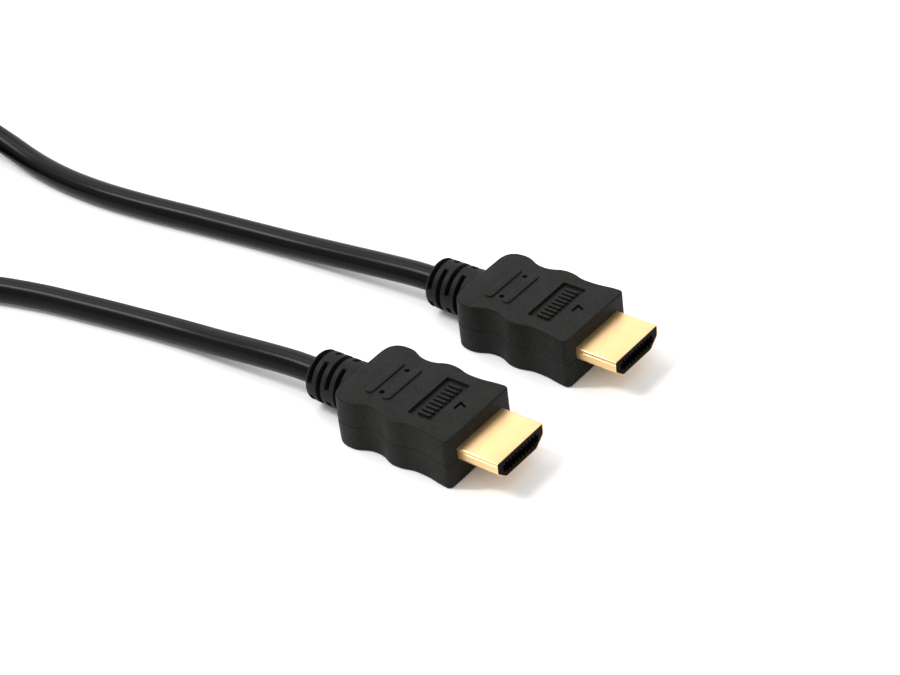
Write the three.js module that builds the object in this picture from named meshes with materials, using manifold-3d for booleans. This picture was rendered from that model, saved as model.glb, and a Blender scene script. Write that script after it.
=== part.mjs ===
// An HDMI lead with a moulded plug on each end, lying on a level surface.
// Millimetres, +Z up. +X points out of the plugs, +Y from plug a to plug b.
// The origin is under the middle of the two plugs, on the surface they lie on.
import * as THREE from "three";
import { mergeVertices } from "three/addons/utils/BufferGeometryUtils.js";
import Module from "manifold-3d";

const wasm = await Module();
wasm.setup();

// Where the two plugs lie
const plug_spacing = 35.34;
const plug_stagger = 1.2;

// Moulded grip, waisted twice on each side
const grip_length = 27.5;
const grip_height = 10.94;
const front_width = 19.4;
const front_waist_width = 17.9;
const middle_width = 19.4;
const rear_waist_width = 16.9;
const rear_width = 19.6;
const front_waist_back = 8.1;
const middle_back = 12.9;
const rear_waist_back = 18.1;
const rear_back = 23.5;
const rear_corner_radius = 4.0;
const grip_edge_radius = 0.4;
const arc_steps = 5;

// Relief on top of the grip
const panel_length = 5.3;
const panel_width = 12.2;
const panel_depth = 0.6;
const panel_back = 6.4;
const bar_length = 10.5;
const bar_width = 1.8;
const bar_height = 0.3;
const bar_corner_radius = 0.6;
const bar_root = 0.6;
const front_bar_back = 16.7;
const bar_pitch = 4.0;
const dimple_diameter = 1.2;
const dimple_depth = 0.6;
const dimple_pitch = 7.5;
const dimple_from_bar = 0.8;
const dimple_sides = 12;

// Slotted strain relief, moulded in one with the grip
const relief_length = 10.3;
const relief_root_radius = 5.2;
const relief_end_radius = 5.05;
const relief_core_radius = 3.7;
const relief_lip_radius = 1.0;
const relief_overlap = 1.0;
const slot_count = 4;
const slot_pitch = 2.15;
const slot_width = 1.0;
const slot_end_margin = 1.3;
const web_width = 2.6;
const relief_sides = 32;

// Metal shell of the connector
const shell_width = 13.9;
const shell_height = 4.45;
const shell_side_height = 2.4;
const shell_foot_width = 9.2;
const shell_corner_radius = 0.5;
const shell_wall = 0.3;
const shell_exposed = 8.97;
const shell_seat = 2.7;
const shell_rise = 0.3;
const seat_clearance = 0.3;

// Insulator in the shell, with its mouth and its contacts
const insulator_clearance = 0.1;
const insulator_recess = 0.25;
const mouth_width = 10.6;
const mouth_height = 1.5;
const mouth_depth = 7.6;
const contact_pitch = 1.0;
const upper_contact_count = 10;
const lower_contact_count = 9;
const contact_width = 0.4;
const contact_thickness = 0.35;
const contact_length = 6.6;
const contact_clearance = 0.1;
const contact_front_margin = 0.5;
const contact_proud = 0.1;

// Cable
const cable_diameter = 5.2;
const cable_sides = 10;
const cable_step = 2.3;
const cable_gap = 0.3;
const floor_clearance = 0.02;

// Coil of the cable's middle: four turns wide below, three above
const coil_x = -170;
const coil_y = -22;
const coil_mean_radius = 29.2;
const coil_turns_across = 4;
const coil_sides = 48;
const tie_width = 6;
const tie_thickness = 0.6;
const tie_lift = 0.65;
const tie_gap = 0.3;
const tie_slack = 0.06;

// Colours
const PVC = new THREE.Color(0x2a2b2a);
const CABLE_PVC = new THREE.Color(0x141414);
const GOLD = new THREE.Color(0xd9b470);
const CONTACT_GOLD = new THREE.Color(0xcfa85c);
const MOUTH_PLASTIC = new THREE.Color(0x0c0c0c);
const TIE_BLACK = new THREE.Color(0x1b1b1b);

const half_height = grip_height / 2;
const cable_radius = cable_diameter / 2;

// Closed three.js geometry to a solid, and back
function solid(geometry) {
  const bare = new THREE.BufferGeometry();
  bare.setAttribute("position", geometry.getAttribute("position"));
  if (geometry.index) bare.setIndex(geometry.index);
  const merged = mergeVertices(bare, 1e-4);
  return new wasm.Manifold(
    new wasm.Mesh({
      numProp: 3,
      vertProperties: merged.attributes.position.array,
      triVerts: new Uint32Array(merged.index.array),
    }),
  );
}

function geometryOf(made) {
  const mesh = made.getMesh();
  const geometry = new THREE.BufferGeometry();
  geometry.setAttribute("position", new THREE.BufferAttribute(mesh.vertProperties, 3));
  geometry.setIndex(new THREE.BufferAttribute(mesh.triVerts, 1));
  const faceted = geometry.toNonIndexed();
  faceted.computeVertexNormals();
  return faceted;
}

function cut(body, tools) {
  return tools.reduce((left, tool) => left.subtract(solid(tool)), solid(body));
}

function piece(name, geometry, color, roughness, metalness) {
  const material = new THREE.MeshStandardMaterial({ color, roughness, metalness });
  const mesh = new THREE.Mesh(geometry, material);
  mesh.name = name;
  return mesh;
}

// A box by its size and its centre
function block(size, centre) {
  return new THREE.BoxGeometry(...size).translate(...centre);
}

// A section drawn in Y and Z, extruded along +X from the given x
function alongX(shape, length, x) {
  const geometry = new THREE.ExtrudeGeometry(shape, {
    depth: length,
    bevelEnabled: false,
    curveSegments: arc_steps,
  });
  const turn = new THREE.Matrix4().makeBasis(
    new THREE.Vector3(0, 1, 0),
    new THREE.Vector3(0, 0, 1),
    new THREE.Vector3(1, 0, 0),
  );
  return geometry.applyMatrix4(turn).translate(x, 0, 0);
}

// A polygon with each corner rounded off
function roundedShape(points, radius) {
  const shape = new THREE.Shape();
  points.forEach((point, i) => {
    const before = points[(i + points.length - 1) % points.length];
    const after = points[(i + 1) % points.length];
    const from = before.clone().sub(point).setLength(radius).add(point);
    const to = after.clone().sub(point).setLength(radius).add(point);
    if (i) shape.lineTo(from.x, from.y);
    else shape.moveTo(from.x, from.y);
    shape.quadraticCurveTo(point.x, point.y, to.x, to.y);
  });
  shape.closePath();
  return shape;
}

// A polygon, counter-clockwise, with each side moved inwards
function inset(points, distance) {
  return points.map((point, i) => {
    const before = points[(i + points.length - 1) % points.length];
    const after = points[(i + 1) % points.length];
    const along = point.clone().sub(before).normalize();
    const away = after.clone().sub(point).normalize();
    const inwards = new THREE.Vector2(-along.y - away.y, along.x + away.x);
    return point.clone().addScaledVector(inwards, distance / (1 + along.dot(away)));
  });
}

// The connector's outline: upright sides above, tapering to a narrower foot
function shellPoints(distance) {
  const side = shell_width / 2;
  const foot = shell_foot_width / 2;
  const top = half_height + shell_rise + shell_height / 2;
  const outline = [
    new THREE.Vector2(side, top),
    new THREE.Vector2(-side, top),
    new THREE.Vector2(-side, top - shell_side_height),
    new THREE.Vector2(-foot, top - shell_height),
    new THREE.Vector2(foot, top - shell_height),
    new THREE.Vector2(side, top - shell_side_height),
  ];
  return inset(outline, distance);
}

function shellShape(distance) {
  return roundedShape(shellPoints(distance), shell_corner_radius);
}

// Plan of the grip: the flanks swing between their widest and narrowest places
function gripPlan() {
  const stations = [
    [0, front_width / 2],
    [-front_waist_back, front_waist_width / 2],
    [-middle_back, middle_width / 2],
    [-rear_waist_back, rear_waist_width / 2],
    [-rear_back, rear_width / 2],
  ];
  const shape = new THREE.Shape();
  const swing = (a, b, side) => {
    const middle = (a[0] + b[0]) / 2;
    shape.bezierCurveTo(middle, side * a[1], middle, side * b[1], b[0], side * b[1]);
  };
  const [front, ...rest] = stations;
  const rear = stations[stations.length - 1];
  const corner_x = -grip_length;
  const corner_y = rear[1] - rear_corner_radius;
  shape.moveTo(front[0], front[1]);
  rest.forEach((station, i) => swing(stations[i], station, 1));
  shape.quadraticCurveTo(corner_x, rear[1], corner_x, corner_y);
  shape.lineTo(corner_x, -corner_y);
  shape.quadraticCurveTo(corner_x, -rear[1], rear[0], -rear[1]);
  for (let i = stations.length - 1; i > 0; i -= 1) swing(stations[i], stations[i - 1], -1);
  shape.closePath();
  return shape;
}

function gripBody() {
  return new THREE.ExtrudeGeometry(gripPlan(), {
    depth: grip_height - 2 * grip_edge_radius,
    curveSegments: 2 * arc_steps,
    bevelThickness: grip_edge_radius,
    bevelSize: grip_edge_radius,
    bevelOffset: -grip_edge_radius,
    bevelSegments: 2,
  }).translate(0, 0, grip_edge_radius);
}

// A profile of (radius, distance back) turned about the cable's axis at the back of the grip
function turned(profile) {
  return new THREE.LatheGeometry(profile, relief_sides)
    .rotateZ(Math.PI / 2)
    .translate(-grip_length, 0, half_height);
}

function reliefBody() {
  const lip = new THREE.Path();
  lip.moveTo(0, -relief_overlap);
  lip.lineTo(relief_root_radius, -relief_overlap);
  lip.lineTo(relief_end_radius, relief_length - relief_lip_radius);
  lip.quadraticCurveTo(
    relief_end_radius,
    relief_length,
    relief_end_radius - relief_lip_radius,
    relief_length,
  );
  lip.lineTo(0, relief_length);
  return turned(lip.getPoints(arc_steps));
}

// The slots stop at a web on two sides, and each web is a quarter turn from the next
function reliefSlots() {
  const slots = [];
  for (let i = 0; i < slot_count; i += 1) {
    const middle = relief_length - slot_end_margin - i * slot_pitch;
    const outside = relief_root_radius + relief_lip_radius;
    const ring = [
      new THREE.Vector2(relief_core_radius, middle - slot_width / 2),
      new THREE.Vector2(outside, middle - slot_width / 2),
      new THREE.Vector2(outside, middle + slot_width / 2),
      new THREE.Vector2(relief_core_radius, middle + slot_width / 2),
      new THREE.Vector2(relief_core_radius, middle - slot_width / 2),
    ];
    const centre = [-grip_length - middle, 0, half_height];
    const across = 3 * outside;
    const web = i % 2 ? [across, web_width, across] : [across, across, web_width];
    slots.push(solid(turned(ring)).subtract(solid(block(web, centre))));
  }
  return slots;
}

function panelCut() {
  const size = [panel_length, panel_width, 2 * panel_depth];
  return block(size, [-panel_back - panel_length / 2, 0, grip_height]);
}

function dimpleCuts() {
  const x = -front_bar_back - bar_width - dimple_from_bar;
  const radius = dimple_diameter / 2;
  return [-1, 1].map((side) =>
    new THREE.CylinderGeometry(radius, radius, 2 * dimple_depth, dimple_sides)
      .rotateX(Math.PI / 2)
      .translate(x, (side * dimple_pitch) / 2, grip_height),
  );
}

// Two raised bars with round ends, rooted in the grip
function bars() {
  return [0, 1].map((i) => {
    const x = -front_bar_back - i * bar_pitch;
    const half = bar_length / 2;
    const corners = [
      new THREE.Vector2(x, -half),
      new THREE.Vector2(x, half),
      new THREE.Vector2(x - bar_width, half),
      new THREE.Vector2(x - bar_width, -half),
    ];
    const bar = new THREE.ExtrudeGeometry(roundedShape(corners, bar_corner_radius), {
      depth: bar_height + bar_root,
      bevelEnabled: false,
      curveSegments: arc_steps,
    });
    return bar.translate(0, 0, grip_height - bar_root);
  });
}

function overmould() {
  const socket = alongX(shellShape(-seat_clearance), 2 * shell_seat, -shell_seat - seat_clearance);
  let body = cut(gripBody(), [panelCut(), socket]).add(solid(reliefBody()));
  bars().forEach((bar) => (body = body.add(solid(bar))));
  reliefSlots().forEach((slot) => (body = body.subtract(slot)));
  dimpleCuts().forEach((dimple) => (body = body.subtract(solid(dimple))));
  return geometryOf(body);
}

function shell() {
  const shape = shellShape(0);
  shape.holes.push(new THREE.Path(shellShape(shell_wall).getPoints(arc_steps)));
  return alongX(shape, shell_exposed + shell_seat, -shell_seat);
}

const mouth_middle = half_height + shell_rise;
const insulator_front = shell_exposed - insulator_recess;

// The contacts' places: ten above the mouth and nine below, staggered by half a pitch
function contactPlaces() {
  const row = (count, side) =>
    Array.from({ length: count }, (_, i) => ({
      y: (i - (count - 1) / 2) * contact_pitch,
      z: mouth_middle + side * (mouth_height / 2 + contact_thickness / 2 - contact_proud),
      side,
    }));
  return [...row(upper_contact_count, 1), ...row(lower_contact_count, -1)];
}

function insulator() {
  const length = insulator_front + shell_seat;
  const body = alongX(shellShape(shell_wall + insulator_clearance), length, -shell_seat);
  const middle = insulator_front;
  const mouth = block([2 * mouth_depth, mouth_width, mouth_height], [middle, 0, mouth_middle]);
  const width = contact_width + 2 * contact_clearance;
  const depth = contact_thickness + contact_clearance - contact_proud;
  const grooves = contactPlaces().map(({ y, side }) =>
    block(
      [2 * mouth_depth, width, mouth_height / 2 + depth],
      [middle, y, mouth_middle + (side * (mouth_height / 2 + depth)) / 2],
    ),
  );
  return geometryOf(cut(body, [mouth, ...grooves]));
}

function contact({ y, z }) {
  const x = insulator_front - contact_front_margin - contact_length / 2;
  return block([contact_length, contact_width, contact_thickness], [x, y, z]);
}

function plug(name, x, y) {
  const group = new THREE.Group();
  group.position.set(x, y, 0);
  group.add(piece(`${name}_overmould`, overmould(), PVC, 0.55, 0));
  group.add(piece(`${name}_shell`, shell(), GOLD, 0.3, 1));
  group.add(piece(`${name}_insulator`, insulator(), MOUTH_PLASTIC, 0.5, 0));
  contactPlaces().forEach((place, i) => {
    const number = String(i + 1).padStart(2, "0");
    group.add(piece(`${name}_contact_${number}`, contact(place), CONTACT_GOLD, 0.3, 1));
  });
  return group;
}

// Middle of the two plugs in plan, from the end of one relief to the tip of the other shell
const plug_front = (grip_length + relief_length - shell_exposed) / 2;
const plug_a_x = plug_front - plug_stagger / 2;
const plug_b_x = plug_front + plug_stagger / 2;
const plug_a_y = -plug_spacing / 2;
const plug_b_y = plug_spacing / 2;
const back_reach = grip_length + relief_length + cable_gap;
const exit_a = new THREE.Vector3(plug_a_x - back_reach, plug_a_y, half_height);
const exit_b = new THREE.Vector3(plug_b_x - back_reach, plug_b_y, half_height);

// Cable height when it lies on the surface
const lying = cable_radius + floor_clearance;

// The cable's route from plug a to the coil, and from the coil to plug b
const route_a = [
  exit_a,
  new THREE.Vector3(-30, -17.75, 5.35),
  new THREE.Vector3(-38, -18.1, 4.75),
  new THREE.Vector3(-48, -18.5, 3.7),
  new THREE.Vector3(-58, -19.0, 2.9),
  new THREE.Vector3(-68, -20.2, lying),
  new THREE.Vector3(-80, -22.2, lying),
  new THREE.Vector3(-94, -24.9, lying),
  new THREE.Vector3(-106.2, -28.8, lying),
  new THREE.Vector3(-112.2, -33.2, lying),
  new THREE.Vector3(-121.1, -42.2, lying),
  new THREE.Vector3(-130.2, -51.3, lying),
  new THREE.Vector3(-138.7, -57.0, lying),
  new THREE.Vector3(-148.6, -59.0, lying),
];
const route_b = [
  new THREE.Vector3(-145.2, 12.3, 5.9),
  new THREE.Vector3(-138, 11.9, 4.4),
  new THREE.Vector3(-129, 10.9, 3.0),
  new THREE.Vector3(-119, 9.9, lying),
  new THREE.Vector3(-108, 9.8, lying),
  new THREE.Vector3(-96, 10.9, lying),
  new THREE.Vector3(-84, 12.6, lying),
  new THREE.Vector3(-70, 14.5, lying),
  new THREE.Vector3(-58, 15.8, 2.95),
  new THREE.Vector3(-47, 16.5, 3.8),
  new THREE.Vector3(-36, 17.0, 4.85),
  new THREE.Vector3(-28, 17.45, 5.4),
  exit_b,
];

function cable(points) {
  const path = new THREE.CatmullRomCurve3(points, false, "centripetal");
  const section = new THREE.Shape();
  for (let i = 0; i < cable_sides; i += 1) {
    const angle = (i / cable_sides) * 2 * Math.PI;
    const x = cable_radius * Math.cos(angle);
    const y = cable_radius * Math.sin(angle);
    if (i) section.lineTo(x, y);
    else section.moveTo(x, y);
  }
  section.closePath();
  const steps = Math.round(path.getLength() / (cable_step * cable_diameter));
  return new THREE.ExtrudeGeometry(section, { steps, bevelEnabled: false, extrudePath: path });
}

// The coil's upper turns sit in the hollows between the lower ones
const coil_half_width = (coil_turns_across * cable_diameter) / 2;
const coil_inner = coil_mean_radius - coil_half_width;
const coil_outer = coil_mean_radius + coil_half_width;
const coil_height = cable_diameter + cable_diameter * Math.sin(Math.PI / 3);

function coil() {
  const shoulder = cable_radius;
  const rise = cable_diameter;
  const profile = [
    new THREE.Vector2(coil_inner, 0),
    new THREE.Vector2(coil_outer, 0),
    new THREE.Vector2(coil_outer, rise),
    new THREE.Vector2(coil_outer - shoulder, coil_height),
    new THREE.Vector2(coil_inner + shoulder, coil_height),
    new THREE.Vector2(coil_inner, rise),
    new THREE.Vector2(coil_inner, 0),
  ];
  const ring = new THREE.LatheGeometry(profile, coil_sides).rotateX(Math.PI / 2);
  const depth = tie_thickness + tie_gap;
  const size = [2 * coil_outer, tie_width + 2 * tie_gap, 2 * depth];
  return geometryOf(cut(ring, [block(size, [-coil_outer, 0, 0])]));
}

// A band round one side of the coil, under it and over it
function tie() {
  const near = Math.sqrt(coil_inner ** 2 - (tie_width / 2) ** 2) - tie_gap;
  const far = coil_outer + tie_gap;
  const top = coil_height + tie_lift + tie_slack;
  const rectangle = (grow) => [
    new THREE.Vector2(near - grow, tie_thickness - grow),
    new THREE.Vector2(far + grow, tie_thickness - grow),
    new THREE.Vector2(far + grow, top + grow),
    new THREE.Vector2(near - grow, top + grow),
  ];
  const shape = roundedShape(rectangle(tie_thickness), tie_thickness);
  const hole = roundedShape(rectangle(0), tie_thickness / 2).getPoints(arc_steps);
  shape.holes.push(new THREE.Path(hole));
  const band = new THREE.ExtrudeGeometry(shape, {
    depth: tie_width,
    bevelEnabled: false,
    curveSegments: arc_steps,
  });
  return band
    .translate(0, 0, -tie_width / 2)
    .rotateX(Math.PI / 2)
    .rotateZ(Math.PI);
}

const coil_group = new THREE.Group();
coil_group.position.set(coil_x, coil_y, 0);
coil_group.add(piece("cable_coil", coil(), CABLE_PVC, 0.4, 0));
coil_group.add(piece("coil_tie", tie(), TIE_BLACK, 0.7, 0));

const group = new THREE.Group();
group.add(plug("plug_a", plug_a_x, plug_a_y));
group.add(plug("plug_b", plug_b_x, plug_b_y));
group.add(piece("cable_a", cable(route_a), CABLE_PVC, 0.4, 0));
group.add(piece("cable_b", cable(route_b), CABLE_PVC, 0.4, 0));
group.add(coil_group);

export default group;
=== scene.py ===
# %% [markdown]
# This lesson dresses a video lead. It has a black moulded plug on each end, a gold-plated shell in each
# plug and one long cable whose middle is coiled and tied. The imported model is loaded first. It says where
# each piece is and how large its box is, and the finer pieces are built over its plain solids.

import math

import bmesh
import bpy
from mathutils import Matrix, Vector


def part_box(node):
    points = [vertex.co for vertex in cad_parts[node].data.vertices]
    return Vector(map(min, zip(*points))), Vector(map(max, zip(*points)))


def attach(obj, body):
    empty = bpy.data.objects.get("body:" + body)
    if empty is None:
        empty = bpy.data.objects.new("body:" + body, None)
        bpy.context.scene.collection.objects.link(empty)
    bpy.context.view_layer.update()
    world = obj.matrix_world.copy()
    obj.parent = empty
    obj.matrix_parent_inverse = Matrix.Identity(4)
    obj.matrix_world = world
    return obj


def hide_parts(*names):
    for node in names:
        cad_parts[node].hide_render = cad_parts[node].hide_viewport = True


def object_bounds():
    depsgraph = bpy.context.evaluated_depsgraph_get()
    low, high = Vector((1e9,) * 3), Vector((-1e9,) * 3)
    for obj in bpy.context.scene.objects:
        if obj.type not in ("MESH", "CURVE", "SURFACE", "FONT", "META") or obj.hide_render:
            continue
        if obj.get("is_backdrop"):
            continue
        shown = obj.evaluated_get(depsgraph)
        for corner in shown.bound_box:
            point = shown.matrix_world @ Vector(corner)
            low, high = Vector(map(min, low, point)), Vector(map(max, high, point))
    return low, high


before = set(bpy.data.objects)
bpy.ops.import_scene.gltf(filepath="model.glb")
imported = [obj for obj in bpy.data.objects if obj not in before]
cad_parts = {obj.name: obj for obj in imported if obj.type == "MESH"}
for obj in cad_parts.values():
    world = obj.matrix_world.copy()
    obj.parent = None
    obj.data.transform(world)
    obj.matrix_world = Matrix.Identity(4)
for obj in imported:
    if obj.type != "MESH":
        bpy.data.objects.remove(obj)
cad_box = [list(corner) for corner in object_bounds()]
MM = 0.001
print("solids in the frame:", len(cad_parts))

# %% [markdown]
# The camera comes first, because it decides what has to look right. It stands in front of the plugs, to
# their right and above them, with a long lens, and it is tilted a little: the plugs climb towards the
# right. A camera's own axes are right, up and back, so three turns aim it: round, down and roll.

# %% Camera
CAMERA_PLACE = Vector((252.36, -298.18, 299.07)) * MM
CAMERA_ROUND = math.radians(40.943)
CAMERA_DOWN = math.radians(36.285)
CAMERA_ROLL = math.radians(-6.171)
CAMERA_LENS = 104.0
SENSOR_WIDTH = 36.0
CAMERA_SEES = (0.01, 50)


def make_camera():
    data = bpy.data.cameras.new("camera")
    data.lens = CAMERA_LENS
    data.sensor_width = SENSOR_WIDTH
    data.clip_start, data.clip_end = CAMERA_SEES
    camera = bpy.data.objects.new("camera", data)
    bpy.context.collection.objects.link(camera)
    turn = Matrix.Rotation(CAMERA_ROUND, 4, "Z") @ Matrix.Rotation(math.pi / 2 - CAMERA_DOWN, 4, "X")
    turn = turn @ Matrix.Rotation(CAMERA_ROLL, 4, "Z")
    camera.matrix_world = Matrix.Translation(CAMERA_PLACE) @ turn
    bpy.context.scene.camera = camera


make_camera()
print("camera lens:", CAMERA_LENS, "mm")

# %% [markdown]
# Small moulded parts are easier to model in millimetres, because the tools that cut and merge meshes have
# thresholds made for sizes near one. Each piece below is modelled in millimetres round its own plug, with
# x = 0 on the grip's front face, y = 0 on its middle and z = 0 on the table. `settle` then bakes it into
# metres, in place.

# %% Helpers for meshes
SMOOTH_ANGLE = math.radians(34)


def box_mm(node):
    low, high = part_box(node)
    return Vector(low) / MM, Vector(high) / MM


def plug_origin(plug):
    low, high = box_mm(f"plug_{plug}_overmould")
    return Vector((high.x, (low.y + high.y) / 2, 0))


def add_mesh(name, points, faces):
    mesh = bpy.data.meshes.new(name)
    mesh.from_pydata([tuple(p) for p in points], [], faces)
    mesh.validate()
    made = bpy.data.objects.new(name, mesh)
    bpy.context.collection.objects.link(made)
    return made


def loft(name, rings, closed=False):
    """Skins a list of equal rings. The ends are capped, or the last ring joins the first."""
    count = len(rings[0])
    points = [p for ring in rings for p in ring]
    pairs = len(rings) if closed else len(rings) - 1
    faces = []
    for level in range(pairs):
        here, there = level * count, (level + 1) % len(rings) * count
        for i in range(count):
            j = (i + 1) % count
            faces.append((here + i, here + j, there + j, there + i))
    if not closed:
        faces.append(tuple(reversed(range(count))))
        faces.append(tuple(range(len(points) - count, len(points))))
    made = add_mesh(name, points, faces)
    face_outwards(made)
    return made


def face_outwards(made):
    mesh = bmesh.new()
    mesh.from_mesh(made.data)
    bmesh.ops.remove_doubles(mesh, verts=mesh.verts, dist=1e-5)
    bmesh.ops.recalc_face_normals(mesh, faces=mesh.faces)
    mesh.to_mesh(made.data)
    mesh.free()


def baked(made):
    """Applies an object's modifiers to its mesh."""
    graph = bpy.context.evaluated_depsgraph_get()
    mesh = bpy.data.meshes.new_from_object(made.evaluated_get(graph), depsgraph=graph)
    made.modifiers.clear()
    made.data = mesh
    return made


def combine(made, tool, operation):
    """Joins or cuts with another mesh, which is used up."""
    step = made.modifiers.new(operation.lower(), "BOOLEAN")
    step.operation = operation
    step.solver = "EXACT"
    step.object = tool
    baked(made)
    bpy.data.objects.remove(tool)
    return made


def settle(template, name, plug):
    """Copies a piece modelled in millimetres to its plug, in metres, with its place in its mesh."""
    mesh = template.data.copy()
    mesh.transform(Matrix.Scale(MM, 4) @ Matrix.Translation(plug_origin(plug)))
    mesh.shade_smooth()
    mesh.set_sharp_from_angle(angle=SMOOTH_ANGLE)
    made = bpy.data.objects.new(name, mesh)
    bpy.context.collection.objects.link(made)
    return made


print("plug a stands at", [round(v, 2) for v in plug_origin("a")], "mm")

# %% [markdown]
# The cable is one curve. Its given points leave each plug straight, come down to the table under the
# cable's own weight and run loosely to the coil. The length that nobody sees is wound as for storage: four
# turns side by side on the table, then two and a half turns in the hollows between them. A loop works the
# turns out. Each turn is a true circle, and steps to the next one over a short stretch at the same side.

# %% The cable's route
CABLE_DIAMETER = 5.2
CABLE_RADIUS = CABLE_DIAMETER / 2
CLEAR_OF_TABLE = 0.03
LYING = CABLE_RADIUS + CLEAR_OF_TABLE
GRIP_HEIGHT = 10.94
AXIS_HEIGHT = GRIP_HEIGHT / 2
CABLE_GAP = 0.3


def cable_exit(plug):
    low, high = box_mm(f"plug_{plug}_overmould")
    return Vector((low.x - CABLE_GAP, (low.y + high.y) / 2, AXIS_HEIGHT))


FROM_PLUG_A = [
    (-30, -17.75, 5.35), (-38, -18.1, 4.75), (-48, -18.5, 3.7), (-58, -19.0, 2.9), (-68, -20.2, LYING),
    (-80, -22.2, LYING), (-94, -24.9, LYING), (-106.2, -28.8, LYING), (-112.2, -33.2, LYING),
    (-121.1, -42.2, LYING), (-130.2, -51.3, LYING), (-138.7, -57.0, LYING), (-148.6, -58.9, LYING),
]
TO_PLUG_B = [
    (-145.2, 12.3, 5.9), (-138, 11.9, 4.4), (-129, 10.9, 3.0), (-119, 9.9, LYING), (-108, 9.8, LYING),
    (-96, 10.9, LYING), (-84, 12.6, LYING), (-70, 14.5, LYING), (-58, 15.8, 2.95), (-47, 16.5, 3.8),
    (-36, 17.0, 4.85), (-28, 17.45, 5.4),
]

# %% [markdown]
# The coil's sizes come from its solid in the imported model: its middle, and the width of its four turns.

# %% The coil's turns
coil_low, coil_high = box_mm("cable_coil")
COIL_X = (coil_low.x + coil_high.x) / 2
COIL_Y = (coil_low.y + coil_high.y) / 2
COIL_MARGIN = 0.1
COIL_OUTER_TURN = (coil_high.x - coil_low.x) / 2 - CABLE_RADIUS - COIL_MARGIN
UPPER_HEIGHT = LYING + CABLE_DIAMETER * math.sin(math.pi / 3)
CROSSING_RISE = 0.75
POINTS_PER_TURN = 36
STEP_SHARE = 0.2
CLIMB_START = 0.62
TIE_LIFT = 0.65
TIE_REACH = 0.09
TIE_AT = 0.25
TIE_RAMP_END = 1.6
DROP_START = 0.94
CROSSING_START = 0.76


def ease(share):
    share = min(max(share, 0.0), 1.0)
    return share * share * (3 - 2 * share)


def turn_radii():
    lower = [COIL_OUTER_TURN - CABLE_DIAMETER * k for k in range(4)]
    upper = [lower[3] + CABLE_RADIUS + CABLE_DIAMETER * k for k in range(3)]
    return lower + upper


def coil_point(turns):
    """Where the cable is after that many turns, clockwise from the coil's near side."""
    radii = turn_radii()
    k = min(int(turns), len(radii) - 1)
    share = turns - k
    step = ease((share - (1 - STEP_SHARE)) / STEP_SHARE)
    after = radii[min(k + 1, len(radii) - 1)]
    radius = radii[k] + (after - radii[k]) * step
    height = LYING if k < 4 else UPPER_HEIGHT
    if k == 3:
        climb = ease((share - CLIMB_START) / (1 - STEP_SHARE - CLIMB_START))
        height += (UPPER_HEIGHT + CROSSING_RISE - LYING) * climb
        height -= CROSSING_RISE * ease((share - DROP_START) / (1 - DROP_START))
    elif k > 3:
        crossing = ease((share - CROSSING_START) / (1 - CROSSING_START))
        height += CROSSING_RISE * math.sin(math.pi * crossing)
    away = abs(share - TIE_AT)
    height += TIE_LIFT * ease(TIE_RAMP_END - away / TIE_REACH)
    angle = -math.pi / 2 - 2 * math.pi * turns
    return Vector((COIL_X + radius * math.cos(angle), COIL_Y + radius * math.sin(angle), height))


COIL_TURNS = 6.5
coil_steps = round(COIL_TURNS * POINTS_PER_TURN)
coil_points = [coil_point(COIL_TURNS * i / coil_steps) for i in range(1, coil_steps)]
last_radius = turn_radii()[-1]
LEAVING = ((8, 0.5), (14, 0.78), (19.5, 0.1))
over_the_coil = [
    Vector((COIL_X + ahead, COIL_Y + last_radius, UPPER_HEIGHT + rise)) for ahead, rise in LEAVING
]
print("turn radii, mm:", [round(r, 1) for r in turn_radii()])

# %% [markdown]
# A curve through given points must not swing wide between them. A cubic spline with its knots spaced
# by the root of each chord's length keeps close to them, so it is sampled here into short straight steps.

# %% Smooth the route
SAMPLES_BETWEEN = 6


def smooth_route(points):
    ends = [points[0] * 2 - points[1]] + points + [points[-1] * 2 - points[-2]]
    route = []
    for p0, p1, p2, p3 in zip(ends, ends[1:], ends[2:], ends[3:]):
        t1 = (p1 - p0).length ** 0.5
        t2 = t1 + (p2 - p1).length ** 0.5
        t3 = t2 + (p3 - p2).length ** 0.5
        for i in range(SAMPLES_BETWEEN):
            t = t1 + (t2 - t1) * i / SAMPLES_BETWEEN
            a1 = p0.lerp(p1, t / t1)
            a2 = p1.lerp(p2, (t - t1) / (t2 - t1))
            a3 = p2.lerp(p3, (t - t2) / (t3 - t2))
            b1 = a1.lerp(a2, t / t2)
            b2 = a2.lerp(a3, (t - t1) / (t3 - t1))
            route.append(b1.lerp(b2, (t - t1) / (t2 - t1)))
    return route + [points[-1]]


start_a, start_b = cable_exit("a"), cable_exit("b")
JOINING = (19.4, 9)
join = [Vector((COIL_X + ahead, COIL_Y - turn_radii()[0], LYING)) for ahead in JOINING]
control = [start_a] + [Vector(p) for p in FROM_PLUG_A] + join + [coil_point(0)] + coil_points
control += over_the_coil + [Vector(p) for p in TO_PLUG_B] + [start_b]
route = [point * MM for point in smooth_route(control)]
cable_length = sum((b - a).length for a, b in zip(route, route[1:]))
print("cable length:", round(cable_length, 3), "m in", len(route), "points")

# %% [markdown]
# The real cable is a round PVC jacket over its cores. A swept mesh would look the same, but a curve with a
# round bevel keeps its middle line.

# %% Draw the cable
CABLE_RESOLUTION = 6


def make_cable():
    curve = bpy.data.curves.new("cable", "CURVE")
    curve.dimensions = "3D"
    curve.bevel_depth = CABLE_RADIUS * MM
    curve.bevel_resolution = CABLE_RESOLUTION
    curve.use_fill_caps = True
    spline = curve.splines.new("POLY")
    spline.points.add(len(route) - 1)
    for point, place in zip(spline.points, route):
        point.co = (*place, 1)
    spline.use_smooth = True
    made = bpy.data.objects.new("cable", curve)
    bpy.context.collection.objects.link(made)
    return made


cable = make_cable()
print("cable diameter:", CABLE_DIAMETER, "mm")

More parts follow.
